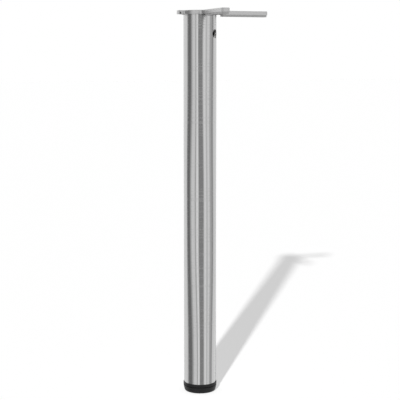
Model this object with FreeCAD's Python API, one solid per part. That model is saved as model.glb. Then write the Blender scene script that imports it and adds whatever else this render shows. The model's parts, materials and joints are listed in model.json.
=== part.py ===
"""Height adjustable table leg: a round steel tube on a screw-in foot, with a cast mounting plate on top.

Millimetres, +Z up. The origin is on the tube's axis, on the floor. The plate's two long arms point along
+X and -Y, its short ones along -X and +Y, and the clamp screw is on the diagonal between the long arms.
"""
import FreeCAD, Part
import math
import os

from FreeCAD import Vector

# Overall
LEG_HEIGHT = 710.0
FOOT_TRAVEL = 20.0

# Tube
TUBE_DIAMETER = 60.0
TUBE_WALL = 1.2

# Mounting plate: a casting with a rim all round, two long arms along the table's edges and two short ones
PLATE_SHEET = 2.0
PLATE_RIM_HEIGHT = 7.0
PLATE_RIM_WALL = 2.0
PLATE_EDGE_RADIUS = 1.0
HUB_STEP = 3.2
ARM_WIDTH = 15.0
ARM_REACH = 131.0
SHORT_ARM_REACH = 43.0
ARM_END_RADIUS = 3.0
ARM_ROOT_RADIUS = 6.0
SHORT_ARM_ROOT_SHARE = 0.4
KEEL_DEPTH = 10.4
KEEL_INSET = 1.4
KEEL_WALL = 2.0
KEEL_GAP = 8.3
KEEL_CORNER_RADIUS = 1.5
SCREW_HOLE_DIAMETER = 5.5
SCREW_HOLE_NEAR = 62.0
SCREW_HOLE_SPACING = 54.0
SCREW_BOSS_DIAMETER = 10.0
NOTCH_WIDTH = 2.8
NOTCH_FROM_END = 1.4
NOTCH_BELOW_TOP = 3.2

# Spigot under the plate, and the collar in the tube that it slides into
SPIGOT_SETBACK = 16.0
SPIGOT_WALL = 4.0
SPIGOT_LENGTH = 56.0
SPIGOT_CHAMFER = 1.5
SPIGOT_CLEARANCE = 0.15
COLLAR_LENGTH = 62.0
COLLAR_CLEARANCE = 0.1
COLLAR_SHELL = 3.0
COLLAR_RIB = 3.0
COLLAR_RIB_COUNT = 8
COLLAR_HUB_WALL = 3.0
COLLAR_FLOOR = 4.0

# Clamp screw, on the diagonal between the arms
CLAMP_DEPTH = 42.0
CLAMP_ANGLE = -45.0
CLAMP_HOLE_DIAMETER = 16.0
CLAMP_POCKET_CLEARANCE = 0.4
CLAMP_HEAD_DIAMETER = 13.0
CLAMP_HEAD_HEIGHT = 5.0
CLAMP_HEAD_SINK = 3.3
CLAMP_HEAD_CHAMFER = 0.8
CLAMP_SOCKET_ACROSS = 6.0
CLAMP_SOCKET_DEPTH = 3.0
CLAMP_THREAD_DIAMETER = 8.0
CLAMP_THREAD_CLEARANCE = 0.1
CLAMP_TIP_GAP = 0.2
CLAMP_BOSS_DIAMETER = 22.0
CLAMP_NUT_ACROSS = 13.0
CLAMP_NUT_THICKNESS = 4.0
CLAMP_NUT_CLEARANCE = 0.1
CLAMP_NUT_LAND = 0.8

# Plug in the tube's lower end
PLUG_FLANGE_STEP = 1.2
PLUG_FLANGE = 5.5
PLUG_FLANGE_CHAMFER = 0.5
PLUG_FLOOR = 3.0
PLUG_LENGTH = 34.0
PLUG_CLEARANCE = 0.1
PLUG_SHELL = 2.5
PLUG_HUB_DIAMETER = 26.0
PLUG_RIB = 2.5
PLUG_RIB_COUNT = 6
PLUG_STUD_CLEARANCE = 0.6

# Foot stud and its nut
STUD_DIAMETER = 10.0
STUD_SPARE = 3.0
STUD_TIP_CHAMFER = 1.2
STUD_HEAD_ACROSS = 17.0
STUD_HEAD_HEIGHT = 6.4
STUD_HEAD_CLEARANCE = 0.05
NUT_ACROSS = 17.0
NUT_THICKNESS = 8.0
NUT_CLEARANCE = 0.1
NUT_THREAD_CLEARANCE = 0.05

# Foot
FOOT_STEP = 1.2
FOOT_HEIGHT = 12.0
FOOT_SEAM = 0.8
FOOT_TAPER = 2.6
FOOT_EDGE_RADIUS = 3.5
FOOT_TOP_CHAMFER = 0.6
FOOT_BASE = 4.0
FOOT_WALL = 4.4
FOOT_HUB_DIAMETER = 27.0
FOOT_RIB = 2.5
FOOT_RIB_COUNT = 6

# Two places closer than this are the same
SAME_PLACE = 1e-4

UP = Vector(0, 0, 1)
AXIS = Vector(0, 0, 0)
TUBE_RADIUS = TUBE_DIAMETER / 2
TUBE_BORE = TUBE_RADIUS - TUBE_WALL
TUBE_BOTTOM = FOOT_HEIGHT + PLUG_FLANGE
TUBE_TOP = LEG_HEIGHT - PLATE_SHEET
CLAMP_HEIGHT = LEG_HEIGHT - CLAMP_DEPTH
HUB_RADIUS = TUBE_RADIUS + HUB_STEP
SPIGOT_RADIUS = TUBE_RADIUS - SPIGOT_SETBACK
COLLAR_RADIUS = TUBE_BORE - COLLAR_CLEARANCE
COLLAR_BORE = SPIGOT_RADIUS + SPIGOT_CLEARANCE
COLLAR_BOTTOM = TUBE_TOP - COLLAR_LENGTH
CLAMP_HEAD_OUTER = TUBE_RADIUS - CLAMP_HEAD_SINK
CLAMP_HEAD_SEAT = CLAMP_HEAD_OUTER - CLAMP_HEAD_HEIGHT
CLAMP_NUT_INNER = COLLAR_BORE + CLAMP_NUT_LAND
PLUG_RADIUS = TUBE_BORE - PLUG_CLEARANCE
PLUG_BOTTOM = FOOT_HEIGHT
PLUG_TOP = TUBE_BOTTOM + PLUG_LENGTH
PLUG_INSIDE = TUBE_BOTTOM + PLUG_FLOOR
NUT_BOTTOM = PLUG_TOP - NUT_THICKNESS
STUD_TOP = PLUG_TOP + FOOT_TRAVEL + STUD_SPARE
FOOT_TOP = FOOT_HEIGHT - FOOT_SEAM
STUD_BOTTOM = FOOT_BASE


def cylinder(radius, low, high):
    return Part.makeCylinder(radius, high - low, Vector(0, 0, low))


def ring(outer, inner, low, high):
    return cylinder(outer, low, high).cut(cylinder(inner, low, high))


def hexagon(across, low, high):
    """Six-sided prism on the axis, given across its flats."""
    corner = across / math.sqrt(3)
    points = [Vector(corner * math.cos(math.radians(60 * i)), corner * math.sin(math.radians(60 * i)), low)
              for i in range(7)]
    return Part.Face(Part.makePolygon(points)).extrude(UP * (high - low))


def radial_ribs(count, thickness, inner, outer, low, high):
    """Flat ribs from a hub to a shell, evenly spaced round the axis, half a step from +X."""
    ribs = []
    for i in range(count):
        rib = Part.makeBox(outer - inner, thickness, high - low, Vector(inner, -thickness / 2, low))
        rib.rotate(AXIS, UP, 360 / count * (i + 0.5))
        ribs.append(rib)
    return ribs


def on_clamp_line(shape):
    """Turns a shape built along +Z about the origin so that +Z points outwards along the clamp screw."""
    shape.rotate(AXIS, Vector(0, 1, 0), 90)
    shape.rotate(AXIS, UP, CLAMP_ANGLE)
    shape.translate(UP * CLAMP_HEIGHT)
    return shape


def edges_at(shape, height):
    """Edges that lie flat at a height."""
    found = []
    for edge in shape.Edges:
        box = edge.BoundBox
        if abs(box.ZMin - height) < SAME_PLACE and abs(box.ZMax - height) < SAME_PLACE:
            found.append(edge)
    return found


def spider(inset, low, high):
    """The plate's outline as a solid, moved inwards by inset: a hub with four arms, rounded at their roots and
    ends."""
    hub = HUB_RADIUS - inset
    width = ARM_WIDTH - 2 * inset
    body = cylinder(hub, low, high)
    arms = []
    for turn, reach in ((0, ARM_REACH), (-90, ARM_REACH), (180, SHORT_ARM_REACH), (90, SHORT_ARM_REACH)):
        arm = Part.makeBox(reach - inset, width, high - low, Vector(0, -width / 2, low))
        arm.rotate(AXIS, UP, turn)
        arms.append(arm)
    body = body.fuse(arms).removeSplitter()
    long_roots = []
    short_roots = []
    ends = []
    for edge in body.Edges:
        at = edge.CenterOfMass
        if edge.BoundBox.ZLength < (high - low) / 2:
            continue
        if math.hypot(at.x, at.y) > (hub + SHORT_ARM_REACH) / 2:
            ends.append(at)
        elif at.x < -width or at.y > width:
            short_roots.append(at)
        else:
            long_roots.append(at)
    short_root_radius = SHORT_ARM_ROOT_SHARE * (SHORT_ARM_REACH - HUB_RADIUS)
    rounds = ((long_roots, ARM_ROOT_RADIUS + inset), (short_roots, short_root_radius + inset),
              (ends, ARM_END_RADIUS - inset))
    for places, radius in rounds:
        edges = [edge for edge in body.Edges
                 if any(edge.CenterOfMass.distanceToPoint(at) < SAME_PLACE for at in places)]
        body = body.makeFillet(radius, edges)
    return body


def keel(inset, low, high):
    """Block under the long arm along +X, moved inwards by inset, with rounded corners."""
    start = HUB_RADIUS + KEEL_GAP + inset
    length = ARM_REACH - KEEL_INSET - inset - start
    width = ARM_WIDTH - 2 * (KEEL_INSET + inset)
    block = Part.makeBox(length, width, high - low, Vector(start, -width / 2, low))
    if inset:
        return block
    corners = [edge for edge in block.Edges if edge.BoundBox.ZLength > SAME_PLACE]
    return block.makeFillet(KEEL_CORNER_RADIUS, corners)


def mounting_plate():
    """Cast plate: a flat top with a rim, a deeper keel with two screw bosses under each long arm, and notches
    in the short arms."""
    rim_bottom = LEG_HEIGHT - PLATE_RIM_HEIGHT
    keel_bottom = LEG_HEIGHT - KEEL_DEPTH
    inside = LEG_HEIGHT - PLATE_SHEET
    blank = spider(0, rim_bottom, LEG_HEIGHT)
    blank = blank.makeFillet(PLATE_EDGE_RADIUS, edges_at(blank, LEG_HEIGHT))
    tray = blank.cut(spider(PLATE_RIM_WALL, rim_bottom, inside))
    added = []
    removed = []
    for turn in (0, -90):
        arm_keel = keel(0, keel_bottom, inside).cut(keel(KEEL_WALL, keel_bottom, inside))
        arm_parts = [arm_keel]
        arm_cuts = []
        for distance in (SCREW_HOLE_NEAR, SCREW_HOLE_NEAR + SCREW_HOLE_SPACING):
            boss = cylinder(SCREW_BOSS_DIAMETER / 2, rim_bottom, inside)
            hole = cylinder(SCREW_HOLE_DIAMETER / 2, rim_bottom, LEG_HEIGHT)
            boss.translate(Vector(distance, 0, 0))
            hole.translate(Vector(distance, 0, 0))
            arm_parts.append(boss)
            arm_cuts.append(hole)
        notch = Part.makeBox(NOTCH_WIDTH, ARM_WIDTH, PLATE_RIM_HEIGHT - NOTCH_BELOW_TOP,
                             Vector(NOTCH_FROM_END - SHORT_ARM_REACH, -ARM_WIDTH / 2, rim_bottom))
        arm_cuts.append(notch)
        for shape in arm_parts + arm_cuts:
            shape.rotate(AXIS, UP, turn)
        added += arm_parts
        removed += arm_cuts
    return tray.fuse(added).removeSplitter().cut(removed)


def plate_spigot():
    """Thick-walled steel spigot, pressed onto the plate's underside, with a chamfered lead-in."""
    bottom = TUBE_TOP - SPIGOT_LENGTH
    body = ring(SPIGOT_RADIUS, SPIGOT_RADIUS - SPIGOT_WALL, bottom, TUBE_TOP)
    lead = [edge for edge in edges_at(body, bottom) if abs(edge.Curve.Radius - SPIGOT_RADIUS) < SAME_PLACE]
    return body.makeChamfer(SPIGOT_CHAMFER, lead)


def tube():
    """Round tube with the access hole for the clamp screw in one side."""
    access = on_clamp_line(cylinder(CLAMP_HOLE_DIAMETER / 2, 0, TUBE_DIAMETER))
    return ring(TUBE_RADIUS, TUBE_BORE, TUBE_BOTTOM, TUBE_TOP).cut(access)


def tube_collar():
    """Moulded collar fixed in the tube's top: hub, shell and ribs, with a boss for the clamp screw and nut."""
    hub = COLLAR_BORE + COLLAR_HUB_WALL
    floor_top = COLLAR_BOTTOM + COLLAR_FLOOR
    shell = ring(COLLAR_RADIUS, COLLAR_RADIUS - COLLAR_SHELL, COLLAR_BOTTOM, TUBE_TOP)
    web = [ring(COLLAR_RADIUS, COLLAR_BORE, COLLAR_BOTTOM, floor_top),
           ring(hub, COLLAR_BORE, COLLAR_BOTTOM, TUBE_TOP)]
    ribs = radial_ribs(COLLAR_RIB_COUNT, COLLAR_RIB, hub - COLLAR_HUB_WALL / 2,
                       COLLAR_RADIUS - COLLAR_SHELL / 2, COLLAR_BOTTOM, TUBE_TOP)
    boss = on_clamp_line(cylinder(CLAMP_BOSS_DIAMETER / 2, 0, TUBE_DIAMETER))
    boss = boss.common(ring(COLLAR_RADIUS, COLLAR_BORE, COLLAR_BOTTOM, TUBE_TOP))
    body = shell.fuse(web + ribs + [boss]).removeSplitter()
    head_pocket = cylinder(CLAMP_HOLE_DIAMETER / 2, CLAMP_HEAD_SEAT - CLAMP_POCKET_CLEARANCE, TUBE_DIAMETER)
    bore = cylinder(CLAMP_THREAD_DIAMETER / 2 + CLAMP_THREAD_CLEARANCE, 0, TUBE_DIAMETER)
    nut_side = CLAMP_NUT_ACROSS + 2 * CLAMP_NUT_CLEARANCE
    slot_height = nut_side / 2 + TUBE_TOP - CLAMP_HEIGHT
    nut_slot = Part.makeBox(slot_height, nut_side, CLAMP_NUT_THICKNESS + CLAMP_NUT_CLEARANCE,
                            Vector(CLAMP_HEIGHT - TUBE_TOP, -nut_side / 2, CLAMP_NUT_INNER))
    return body.cut([on_clamp_line(head_pocket), on_clamp_line(bore), on_clamp_line(nut_slot)])


def clamp_nut():
    """Square nut in the collar's slot, dropped in from the top before the plate goes on."""
    side = CLAMP_NUT_ACROSS
    nut = Part.makeBox(side, side, CLAMP_NUT_THICKNESS, Vector(-side / 2, -side / 2, CLAMP_NUT_INNER))
    bore = cylinder(CLAMP_THREAD_DIAMETER / 2 + NUT_THREAD_CLEARANCE, CLAMP_NUT_INNER,
                    CLAMP_NUT_INNER + CLAMP_NUT_THICKNESS)
    return on_clamp_line(nut.cut(bore))


def clamp_screw():
    """Socket head screw: its tip bears on the spigot, its head sits in the tube's access hole."""
    head = cylinder(CLAMP_HEAD_DIAMETER / 2, CLAMP_HEAD_SEAT, CLAMP_HEAD_OUTER)
    head = head.makeChamfer(CLAMP_HEAD_CHAMFER, edges_at(head, CLAMP_HEAD_OUTER))
    shank = cylinder(CLAMP_THREAD_DIAMETER / 2, SPIGOT_RADIUS + CLAMP_TIP_GAP, CLAMP_HEAD_SEAT)
    socket = hexagon(CLAMP_SOCKET_ACROSS, CLAMP_HEAD_OUTER - CLAMP_SOCKET_DEPTH, CLAMP_HEAD_OUTER)
    return on_clamp_line(head.fuse(shank).removeSplitter().cut(socket))


def end_plug():
    """Moulded plug: a flange under the tube's end, a ribbed cup inside it, and a hub for the stud's nut."""
    hub = PLUG_HUB_DIAMETER / 2
    flange = cylinder(TUBE_RADIUS + PLUG_FLANGE_STEP, PLUG_BOTTOM, TUBE_BOTTOM)
    rims = edges_at(flange, PLUG_BOTTOM) + edges_at(flange, TUBE_BOTTOM)
    flange = flange.makeChamfer(PLUG_FLANGE_CHAMFER, rims)
    floor = cylinder(PLUG_RADIUS, TUBE_BOTTOM, PLUG_INSIDE)
    shell = ring(PLUG_RADIUS, PLUG_RADIUS - PLUG_SHELL, TUBE_BOTTOM, PLUG_TOP)
    ribs = radial_ribs(PLUG_RIB_COUNT, PLUG_RIB, hub / 2, PLUG_RADIUS - PLUG_SHELL / 2, TUBE_BOTTOM, PLUG_TOP)
    body = flange.fuse([floor, shell, cylinder(hub, TUBE_BOTTOM, PLUG_TOP)] + ribs).removeSplitter()
    stud_hole = cylinder(STUD_DIAMETER / 2 + PLUG_STUD_CLEARANCE, PLUG_BOTTOM, PLUG_TOP)
    nut_pocket = hexagon(NUT_ACROSS + 2 * NUT_CLEARANCE, NUT_BOTTOM, PLUG_TOP)
    return body.cut([stud_hole, nut_pocket])


def stud_nut():
    """Hex nut pressed into the plug's hub."""
    bore = cylinder(STUD_DIAMETER / 2 + NUT_THREAD_CLEARANCE, NUT_BOTTOM, PLUG_TOP)
    return hexagon(NUT_ACROSS, NUT_BOTTOM, PLUG_TOP).cut(bore)


def foot_stud():
    """Threaded stud with a hex head that is moulded into the foot. The thread is its outer diameter only."""
    shank = cylinder(STUD_DIAMETER / 2, STUD_BOTTOM, STUD_TOP)
    shank = shank.makeChamfer(STUD_TIP_CHAMFER, edges_at(shank, STUD_TOP))
    return shank.fuse(hexagon(STUD_HEAD_ACROSS, STUD_BOTTOM, STUD_BOTTOM + STUD_HEAD_HEIGHT)).removeSplitter()


def foot():
    """Moulded foot: a cup that narrows to a rounded lower edge, with ribs inside and a hub for the stud."""
    radius = TUBE_RADIUS + FOOT_STEP
    hub = FOOT_HUB_DIAMETER / 2
    inside = radius - FOOT_WALL
    cup = Part.makeCone(radius - FOOT_TAPER, radius, FOOT_TOP)
    cup = cup.makeFillet(FOOT_EDGE_RADIUS, edges_at(cup, 0))
    cup = cup.makeChamfer(FOOT_TOP_CHAMFER, edges_at(cup, FOOT_TOP))
    hollow = ring(inside, hub, FOOT_BASE, FOOT_TOP)
    hollow = hollow.cut(radial_ribs(FOOT_RIB_COUNT, FOOT_RIB, 0, radius, FOOT_BASE, FOOT_TOP))
    shank = cylinder(STUD_DIAMETER / 2 + STUD_HEAD_CLEARANCE, STUD_BOTTOM, FOOT_TOP)
    head = hexagon(STUD_HEAD_ACROSS + 2 * STUD_HEAD_CLEARANCE, STUD_BOTTOM, STUD_BOTTOM + STUD_HEAD_HEIGHT)
    return cup.cut([hollow, shank, head])


PARTS = {
    "mounting_plate": mounting_plate,
    "plate_spigot": plate_spigot,
    "tube": tube,
    "tube_collar": tube_collar,
    "clamp_nut": clamp_nut,
    "clamp_screw": clamp_screw,
    "end_plug": end_plug,
    "stud_nut": stud_nut,
    "foot_stud": foot_stud,
    "foot": foot,
}

os.makedirs("parts", exist_ok=True)
for name, make in PARTS.items():
    shape = make()
    state = "valid" if shape.isValid() else "INVALID"
    print(name, state, len(shape.Solids), "solid", round(shape.Volume), "mm3")
    shape.exportStep(f"parts/{name}.step")
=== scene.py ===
import json
import math

import bpy
import numpy as np
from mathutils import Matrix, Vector

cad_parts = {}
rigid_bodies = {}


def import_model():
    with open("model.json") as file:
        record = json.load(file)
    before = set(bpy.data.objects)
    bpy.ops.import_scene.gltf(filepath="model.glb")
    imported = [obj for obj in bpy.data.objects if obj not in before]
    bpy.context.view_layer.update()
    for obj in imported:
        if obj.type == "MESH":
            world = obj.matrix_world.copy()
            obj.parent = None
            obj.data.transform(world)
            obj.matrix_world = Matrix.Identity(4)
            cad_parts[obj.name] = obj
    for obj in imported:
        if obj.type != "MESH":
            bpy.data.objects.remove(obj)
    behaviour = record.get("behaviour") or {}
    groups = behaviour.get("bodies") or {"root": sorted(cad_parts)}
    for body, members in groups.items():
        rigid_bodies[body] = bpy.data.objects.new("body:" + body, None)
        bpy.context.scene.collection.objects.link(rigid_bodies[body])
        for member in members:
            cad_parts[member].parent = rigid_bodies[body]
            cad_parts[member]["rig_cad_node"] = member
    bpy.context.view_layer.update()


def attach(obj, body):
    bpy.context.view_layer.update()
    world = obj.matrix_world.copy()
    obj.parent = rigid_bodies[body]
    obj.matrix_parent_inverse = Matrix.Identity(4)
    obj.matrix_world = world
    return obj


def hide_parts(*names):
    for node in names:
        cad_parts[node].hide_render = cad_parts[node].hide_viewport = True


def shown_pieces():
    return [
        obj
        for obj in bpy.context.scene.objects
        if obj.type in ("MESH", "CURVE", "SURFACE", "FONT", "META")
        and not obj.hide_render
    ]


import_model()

scene = bpy.context.scene
scene.view_settings.view_transform = "Standard"

# Where the photo was taken from: metres from the tube's axis and over the floor, degrees round from -Y to -X,
# degrees down from level, and the lens in millimetres
CAMERA_DISTANCE = 2.098
CAMERA_HEIGHT = 0.621
CAMERA_TURN = math.radians(20.0)
CAMERA_PITCH = math.radians(7.03)
CAMERA_LENS = 102.33

# Lower edge of the mounting plate's rim over the floor, below which the zinc is rougher and painted darker as
# shade under the rim, and half the height over which this changes
PLATE_RIM_BOTTOM = 0.703
RIM_BLEND = 0.0002

# Patterns of the finishes, in repeats per metre along x, y and z, or along all three
BRUSH_MARKS = (4.0, 4.0, 400.0)          # 250 mm round the tube and 2.5 mm up it
BRUSH_STRETCHES = (4.0, 4.0, 16.0)       # 60 mm up the tube
BRUSH_GRAIN = (60.0, 60.0, 2500.0)       # 17 mm round the tube and 0.4 mm up it
DRAWING_WAVES = (16.0, 16.0, 3.3)        # 60 mm round the tube and 300 mm up it
TURNING_MARKS = (80.0, 80.0, 3300.0)     # 12 mm round the steel and 0.3 mm up it
CAST_SKIN = 300.0                        # 3 mm
PLATING_CLOUDS = 250.0                   # 4 mm
OIL_PATCHES = 2000.0                     # 0.5 mm
MOULD_GRAIN = 1800.0                     # 0.5 mm


def linear(code):
    """Linear RGBA from a hex sRGB colour."""
    values = [int(code[i:i + 2], 16) / 255 for i in (1, 3, 5)]
    return [v / 12.92 if v <= 0.04045 else ((v + 0.055) / 1.055) ** 2.4 for v in values] + [1.0]


WHITE = linear("#ffffff")


def add(tree, kind, inputs=None, **settings):
    """Adds a node, sets its properties, and sets or links its inputs by name or number."""
    node = tree.nodes.new(kind)
    for name, value in settings.items():
        setattr(node, name, value)
    for name, value in (inputs or {}).items():
        if isinstance(value, bpy.types.NodeSocket):
            tree.links.new(value, node.inputs[name])
        else:
            node.inputs[name].default_value = value
    return node


def new_material(name):
    """An empty node material and its tree."""
    material = bpy.data.materials.new(name)
    material.use_nodes = True
    material.node_tree.nodes.clear()
    return material, material.node_tree


def finish_material(tree, shader):
    """Links a shader node to the material's output."""
    add(tree, "ShaderNodeOutputMaterial", {"Surface": shader.outputs[0]})


def brushed_nickel():
    """Satin nickel on the tube: brushed round the axis, so that reflections are sharp sideways and smeared
    along it."""
    material, tree = new_material("brushed nickel")
    place = add(tree, "ShaderNodeTexCoord").outputs["Object"]
    # Brush marks duller than the rest, in stretches, over a finer grain. Real marks are too fine to show, so
    # these are drawn as coarse as they need to be
    coarse_at = add(tree, "ShaderNodeMapping", {"Vector": place, "Scale": BRUSH_MARKS}).outputs[0]
    coarse = add(tree, "ShaderNodeTexNoise", {"Vector": coarse_at, "Scale": 1.0, "Detail": 0.0})
    stretch_at = add(tree, "ShaderNodeMapping", {"Vector": place, "Scale": BRUSH_STRETCHES}).outputs[0]
    stretches = add(tree, "ShaderNodeTexNoise", {"Vector": stretch_at, "Scale": 1.0, "Detail": 1.0})
    grain_at = add(tree, "ShaderNodeMapping", {"Vector": place, "Scale": BRUSH_GRAIN}).outputs[0]
    grain = add(tree, "ShaderNodeTexNoise", {"Vector": grain_at, "Scale": 1.0, "Detail": 1.0})
    lines = add(tree, "ShaderNodeMapRange", {
        "Value": coarse.outputs["Fac"], "From Min": 0.5, "From Max": 0.6}).outputs[0]
    strong = add(tree, "ShaderNodeMapRange", {
        "Value": stretches.outputs["Fac"], "From Min": 0.38, "From Max": 0.52}).outputs[0]
    marks = add(tree, "ShaderNodeMath", {0: lines, 1: strong}, operation="MULTIPLY").outputs[0]
    rough = add(tree, "ShaderNodeMapRange", {"Value": marks, "To Min": 0.14, "To Max": 0.27})
    tone = add(tree, "ShaderNodeValToRGB", {"Fac": grain.outputs["Fac"]})
    tone.color_ramp.elements[0].position = 0.3
    tone.color_ramp.elements[0].color = linear("#c8c8c8")
    tone.color_ramp.elements[1].position = 0.7
    tone.color_ramp.elements[1].color = linear("#cbcbcb")
    # Long shallow waves from drawing the tube, so that the reflections wander
    waves_at = add(tree, "ShaderNodeMapping", {"Vector": place, "Scale": DRAWING_WAVES}).outputs[0]
    waves = add(tree, "ShaderNodeTexNoise", {"Vector": waves_at, "Scale": 1.0, "Detail": 0.0})
    waved = add(tree, "ShaderNodeBump", {"Height": waves.outputs["Fac"], "Strength": 1.0, "Distance": 0.008})
    round_axis = add(tree, "ShaderNodeTangent", direction_type="RADIAL", axis="Z")
    shader = add(tree, "ShaderNodeBsdfPrincipled", {
        "Base Color": tone.outputs["Color"], "Metallic": 1.0, "Roughness": rough.outputs[0],
        "Normal": waved.outputs[0], "Anisotropic": 1.0, "Anisotropic Rotation": 0.25,
        "Tangent": round_axis.outputs[0]})
    finish_material(tree, shader)
    return material


def cast_zinc():
    """Cast zinc with a cloudy skin from the die: smoother on the top and the rim, and dull where it is left
    as cast below the rim. Its colour is painted lighter on the top and the rim and darker below the rim, as
    painted shade under the rim."""
    material, tree = new_material("satin cast zinc")
    place = add(tree, "ShaderNodeTexCoord").outputs["Object"]
    height = add(tree, "ShaderNodeSeparateXYZ", {"Vector": place}).outputs["Z"]
    # 0 below the rim's lower edge and 1 above it: it sets the roughness, and below the rim it paints shade
    satin_above_painted_shade = add(tree, "ShaderNodeMapRange", {
        "Value": height, "From Min": PLATE_RIM_BOTTOM - RIM_BLEND,
        "From Max": PLATE_RIM_BOTTOM + RIM_BLEND}).outputs[0]
    skin = add(tree, "ShaderNodeTexNoise", {"Vector": place, "Scale": CAST_SKIN, "Detail": 4.0})
    cloudy = add(tree, "ShaderNodeMapRange", {"Value": skin.outputs["Fac"], "To Min": -0.15, "To Max": 0.15})
    finish_and_painted_shade = add(tree, "ShaderNodeMath", {0: satin_above_painted_shade, 1: cloudy.outputs[0]}, operation="ADD").outputs[0]
    # Painted shade: the colour is darker below the rim, where the rim shades the plate, and lighter on the
    # top and the rim
    tone = add(tree, "ShaderNodeValToRGB", {"Fac": finish_and_painted_shade})
    tone.color_ramp.elements[0].color = linear("#b6b6b6")
    tone.color_ramp.elements[1].color = linear("#c9c9c9")
    rough = add(tree, "ShaderNodeMapRange", {"Value": finish_and_painted_shade, "To Min": 0.52, "To Max": 0.34})
    shader = add(tree, "ShaderNodeBsdfPrincipled", {
        "Base Color": tone.outputs["Color"], "Metallic": 1.0, "Roughness": rough.outputs[0]})
    finish_material(tree, shader)
    return material


def bright_steel():
    """Zinc-plated steel of the spigot, stud and nuts: bright, with fine turning marks and cloudy plating."""
    material, tree = new_material("zinc plated steel")
    place = add(tree, "ShaderNodeTexCoord").outputs["Object"]
    turned_at = add(tree, "ShaderNodeMapping", {"Vector": place, "Scale": TURNING_MARKS}).outputs[0]
    turned = add(tree, "ShaderNodeTexNoise", {"Vector": turned_at, "Scale": 1.0, "Detail": 1.0})
    clouds = add(tree, "ShaderNodeTexNoise", {"Vector": place, "Scale": PLATING_CLOUDS, "Detail": 3.0})
    rough = add(tree, "ShaderNodeMapRange", {"Value": turned.outputs["Fac"], "To Min": 0.2, "To Max": 0.42})
    tone = add(tree, "ShaderNodeValToRGB", {"Fac": clouds.outputs["Fac"]})
    tone.color_ramp.elements[0].color = linear("#b8b8b6")
    tone.color_ramp.elements[1].color = linear("#d0d0ce")
    shader = add(tree, "ShaderNodeBsdfPrincipled", {
        "Base Color": tone.outputs["Color"], "Metallic": 1.0, "Roughness": rough.outputs[0]})
    finish_material(tree, shader)
    return material


def black_steel():
    """Black oxide on the clamp screw: nearly black, with an oily sheen in small patches."""
    material, tree = new_material("black oxide steel")
    place = add(tree, "ShaderNodeTexCoord").outputs["Object"]
    oil = add(tree, "ShaderNodeTexNoise", {"Vector": place, "Scale": OIL_PATCHES, "Detail": 2.0})
    rough = add(tree, "ShaderNodeMapRange", {"Value": oil.outputs["Fac"], "To Min": 0.35, "To Max": 0.55})
    shader = add(tree, "ShaderNodeBsdfPrincipled", {
        "Base Color": linear("#2a2a2b"), "Metallic": 1.0, "Roughness": rough.outputs[0]})
    finish_material(tree, shader)
    return material


def plastic(name, colour, roughness, specular):
    """Moulded plastic with a fine spark-eroded grain that breaks up its sheen."""
    material, tree = new_material(name)
    place = add(tree, "ShaderNodeTexCoord").outputs["Object"]
    grain = add(tree, "ShaderNodeTexNoise", {"Vector": place, "Scale": MOULD_GRAIN, "Detail": 2.0})
    bump = add(tree, "ShaderNodeBump", {"Height": grain.outputs["Fac"], "Strength": 0.25, "Distance": 0.0001})
    shader = add(tree, "ShaderNodeBsdfPrincipled", {
        "Base Color": linear(colour), "Roughness": roughness, "Specular IOR Level": specular,
        "Normal": bump.outputs[0]})
    finish_material(tree, shader)
    return material


NICKEL = brushed_nickel()
ZINC = cast_zinc()
STEEL = bright_steel()
BLACK_STEEL = black_steel()
BLACK_PLASTIC = plastic("black moulded plastic", "#111112", 0.5, 0.35)
GREY_PLASTIC = plastic("light grey moulded plastic", "#b4b4b2", 0.5, 0.5)

FINISHES = {
    "tube": NICKEL,
    "mounting_plate": ZINC,
    "plate_spigot": STEEL,
    "clamp_nut": STEEL,
    "clamp_screw": BLACK_STEEL,
    "stud_nut": STEEL,
    "foot_stud": STEEL,
    "tube_collar": GREY_PLASTIC,
    "end_plug": BLACK_PLASTIC,
    "foot": BLACK_PLASTIC,
}
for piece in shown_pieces():
    material = FINISHES[piece["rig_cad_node"]]
    for slot in piece.material_slots:
        slot.material = material
    if not piece.material_slots:
        piece.data.materials.append(material)

# Foot stud: the same stud as the solid one, with its thread cut. Crest and root are shares of the pitch
STUD_RADIUS = 0.005
STUD_TOP = 0.0745
STUD_TIP = 0.0012
THREAD_PITCH = 0.0015
THREAD_DEPTH = 0.00092
THREAD_CREST = 0.125
THREAD_ROOT = 0.25
HEAD_BOTTOM = 0.004
HEAD_TOP = 0.0104
HEAD_ACROSS = 0.017
HEAD_SIDES = 6
AROUND = 48
ROWS_PER_PITCH = 12


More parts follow.
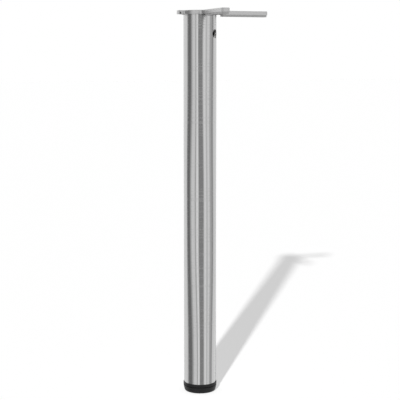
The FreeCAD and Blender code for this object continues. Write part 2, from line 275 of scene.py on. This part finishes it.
def threaded_stud():
    """Stud with a helical thread. Its radius at a height and an angle is the outer radius less the thread's
    depth times a trapezoid wave of the height over the pitch less the share of a turn: a flat crest, a flat
    root, and straight flanks between. It runs out over one pitch above the head and under a 45 degree tip.
    The head is a plain hexagonal prism."""
    rows = int(round((STUD_TOP - HEAD_TOP) / THREAD_PITCH * ROWS_PER_PITCH))
    heights = np.linspace(HEAD_TOP, STUD_TOP, rows + 1)
    turns = np.arange(AROUND) / AROUND
    wave = np.abs((heights[:, None] / THREAD_PITCH - turns[None, :]) % 1.0 - 0.5) * 2
    depth = THREAD_DEPTH * np.clip((wave - THREAD_CREST) / (1 - THREAD_CREST - THREAD_ROOT), 0, 1)
    depth *= np.clip((heights - HEAD_TOP) / THREAD_PITCH, 0, 1)[:, None]
    tip = np.clip(heights - STUD_TOP + STUD_TIP, 0, 1)[:, None]
    radius = STUD_RADIUS - np.maximum(depth, tip)
    angles = 2 * np.pi * turns
    points = np.stack([radius * np.cos(angles), radius * np.sin(angles),
                       np.repeat(heights[:, None], AROUND, axis=1)], axis=2).reshape(-1, 3)
    steps = np.arange(AROUND)
    row_starts = np.arange(rows)[:, None] * AROUND
    lower = row_starts + steps[None, :]
    beside = row_starts + (steps[None, :] + 1) % AROUND
    faces = np.stack([lower, beside, beside + AROUND, lower + AROUND], axis=2).reshape(-1, 4).tolist()
    faces += [(rows * AROUND + steps).tolist(), steps[::-1].tolist()]
    sides = np.arange(HEAD_SIDES)
    side_angles = 2 * np.pi * sides / HEAD_SIDES
    corners = HEAD_ACROSS / math.sqrt(3) * np.stack([np.cos(side_angles), np.sin(side_angles)], axis=1)
    head = np.concatenate([np.column_stack([corners, np.full(HEAD_SIDES, height)])
                           for height in (HEAD_BOTTOM, HEAD_TOP)])
    low = len(points) + sides
    low_next = len(points) + (sides + 1) % HEAD_SIDES
    faces += np.stack([low, low_next, low_next + HEAD_SIDES, low + HEAD_SIDES], axis=1).tolist()
    faces += [low[::-1].tolist(), (low + HEAD_SIDES).tolist()]
    mesh = bpy.data.meshes.new("threaded_stud")
    mesh.from_pydata(np.concatenate([points, head]).tolist(), [], faces)
    mesh.materials.append(STEEL)
    stud = bpy.data.objects.new("threaded_stud", mesh)
    scene.collection.objects.link(stud)
    return stud


stud = threaded_stud()
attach(stud, "foot")
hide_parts("foot_stud")

# Camera
toward_camera = Vector((-math.sin(CAMERA_TURN), -math.cos(CAMERA_TURN), 0.0))
camera_bearing = math.atan2(toward_camera.y, toward_camera.x)
camera = bpy.data.objects.new("camera", bpy.data.cameras.new("camera"))
camera.data.lens = CAMERA_LENS
camera.location = toward_camera * CAMERA_DISTANCE + Vector((0.0, 0.0, CAMERA_HEIGHT))
aim = -toward_camera * math.cos(CAMERA_PITCH) - Vector((0.0, 0.0, math.sin(CAMERA_PITCH)))
camera.rotation_euler = aim.to_track_quat("-Z", "Y").to_euler()
scene.collection.objects.link(camera)
scene.camera = camera

# Studio walls as the metal sees them, round from the camera to the right: from and to in degrees, and how
# light. Between two of them the level runs evenly from one to the next
PANELS = [
    (-180, -172, 0.30),  # dark doorway behind
    (-163, -108, 0.95),  # white wall behind, left
    (-92, -70, 0.21),    # black flag, left
    (-48, -31, 0.90),    # large soft panel, left
    (-25, -24, 0.48),    # gap between the two panels
    (-18, -10, 1.06),    # narrow soft panel beside the camera
    (-4, 20, 0.32),      # dark room behind the camera
    (30, 40, 1.00),      # narrow soft panel, right
    (46, 49, 0.68),      # gap between the two panels
    (56, 66, 0.95),      # large soft panel, right
    (72, 82, 0.58),      # grey flag, right
    (90, 93, 0.36),      # black flag, right
    (106, 163, 0.92),    # white wall behind, right
    (172, 180, 0.30),    # dark doorway behind, its other half
]
CEILING_LIGHT = 0.9
AMBIENT_LIGHT = 0.14


def studio_world():
    """White to the camera; to the metal a ring of walls, with a light ceiling in front; to the rest an even
    grey."""
    world = bpy.data.worlds.new("studio")
    world.use_nodes = True
    tree = world.node_tree
    tree.nodes.clear()
    path = add(tree, "ShaderNodeLightPath").outputs
    direction = add(tree, "ShaderNodeTexCoord").outputs["Generated"]
    turned = add(tree, "ShaderNodeMapping", {
        "Vector": direction, "Rotation": (0.0, 0.0, -camera_bearing)}).outputs[0]
    around = add(tree, "ShaderNodeTexGradient", {"Vector": turned}, gradient_type="RADIAL").outputs["Fac"]
    ramp = add(tree, "ShaderNodeValToRGB", {"Fac": around})
    stops = ramp.color_ramp.elements
    edges = [(degrees, level) for first, last, level in PANELS for degrees in (first, last)]
    for i, (degrees, level) in enumerate(edges):
        stop = stops[i] if i < len(stops) else stops.new(1.0)
        stop.position = 0.5 + degrees / 360
        stop.color = (level, level, level, 1.0)
    walls = add(tree, "ShaderNodeBackground", {"Color": ramp.outputs["Color"]})
    ceiling = add(tree, "ShaderNodeBackground", {"Color": WHITE, "Strength": CEILING_LIGHT})
    ambient = add(tree, "ShaderNodeBackground", {"Color": WHITE, "Strength": AMBIENT_LIGHT})
    backdrop = add(tree, "ShaderNodeBackground", {"Color": WHITE})
    along = add(tree, "ShaderNodeSeparateXYZ", {"Vector": turned}).outputs
    above = add(tree, "ShaderNodeMapRange", {"Value": along["Z"], "From Min": 0.25, "From Max": 0.35})
    front = add(tree, "ShaderNodeMapRange", {"Value": along["X"], "From Min": 0.2, "From Max": 0.4})
    overhead = add(tree, "ShaderNodeMath", {0: above.outputs[0], 1: front.outputs[0]}, operation="MULTIPLY")
    room = add(tree, "ShaderNodeMixShader", {
        "Fac": overhead.outputs[0], 1: walls.outputs[0], 2: ceiling.outputs[0]})
    seen = add(tree, "ShaderNodeMixShader", {
        "Fac": path["Is Glossy Ray"], 1: ambient.outputs[0], 2: room.outputs[0]})
    shown = add(tree, "ShaderNodeMixShader", {
        "Fac": path["Is Camera Ray"], 1: seen.outputs[0], 2: backdrop.outputs[0]})
    add(tree, "ShaderNodeOutputWorld", {"Surface": shown.outputs[0]})
    return world


scene.world = studio_world()

# Key light: a soft sun from the front left that throws the leg's shadow back to the right
KEY_TURN = math.radians(-11.2)
KEY_HEIGHT = math.radians(25.3)
KEY_WIDTH = math.radians(1.6)
KEY_LIGHT = 3.05
key_bearing = camera_bearing + KEY_TURN
toward_key = Vector((math.cos(key_bearing) * math.cos(KEY_HEIGHT),
                     math.sin(key_bearing) * math.cos(KEY_HEIGHT),
                     math.sin(KEY_HEIGHT)))
key = bpy.data.objects.new("key", bpy.data.lights.new("key", "SUN"))
key.data.energy = KEY_LIGHT
key.data.angle = KEY_WIDTH
key.rotation_euler = (-toward_key).to_track_quat("-Z", "Y").to_euler()
key.visible_glossy = False
scene.collection.objects.link(key)

# Floor: half its width, how far it lies under the foot, and how much it glows to the camera
FLOOR_HALF = 30.0
FLOOR_DROP = 0.0002
FLOOR_GLOW = 0.5


def white_paper():
    """White paper under the leg: matt, so that it keeps the shadow, and open to a camera below it."""
    material, tree = new_material("white paper floor")
    to_camera = add(tree, "ShaderNodeLightPath").outputs["Is Camera Ray"]
    glow_level = add(tree, "ShaderNodeMath", {0: to_camera, 1: FLOOR_GLOW}, operation="MULTIPLY")
    matt = add(tree, "ShaderNodeBsdfDiffuse", {"Color": linear("#f3f3f3")})
    glow = add(tree, "ShaderNodeEmission", {"Color": WHITE, "Strength": glow_level.outputs[0]})
    lit = add(tree, "ShaderNodeAddShader", {0: matt.outputs[0], 1: glow.outputs[0]})
    clear = add(tree, "ShaderNodeBsdfTransparent")
    from_below = add(tree, "ShaderNodeNewGeometry").outputs["Backfacing"]
    shader = add(tree, "ShaderNodeMixShader", {"Fac": from_below, 1: lit.outputs[0], 2: clear.outputs[0]})
    finish_material(tree, shader)
    return material


def paper_floor():
    """Flat square sheet that faces up: its four corners lie half its width from the axis along x and y."""
    corners = np.array([(-1, -1), (1, -1), (1, 1), (-1, 1)]) * FLOOR_HALF
    mesh = bpy.data.meshes.new("floor")
    mesh.from_pydata(np.column_stack([corners, np.full(4, -FLOOR_DROP)]).tolist(), [], [(0, 1, 2, 3)])
    mesh.materials.append(white_paper())
    sheet = bpy.data.objects.new("floor", mesh)
    sheet.visible_glossy = False
    scene.collection.objects.link(sheet)
    return sheet


# The floor moves with the foot, so that the leg stands on it at every height
floor = paper_floor()
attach(floor, "foot")
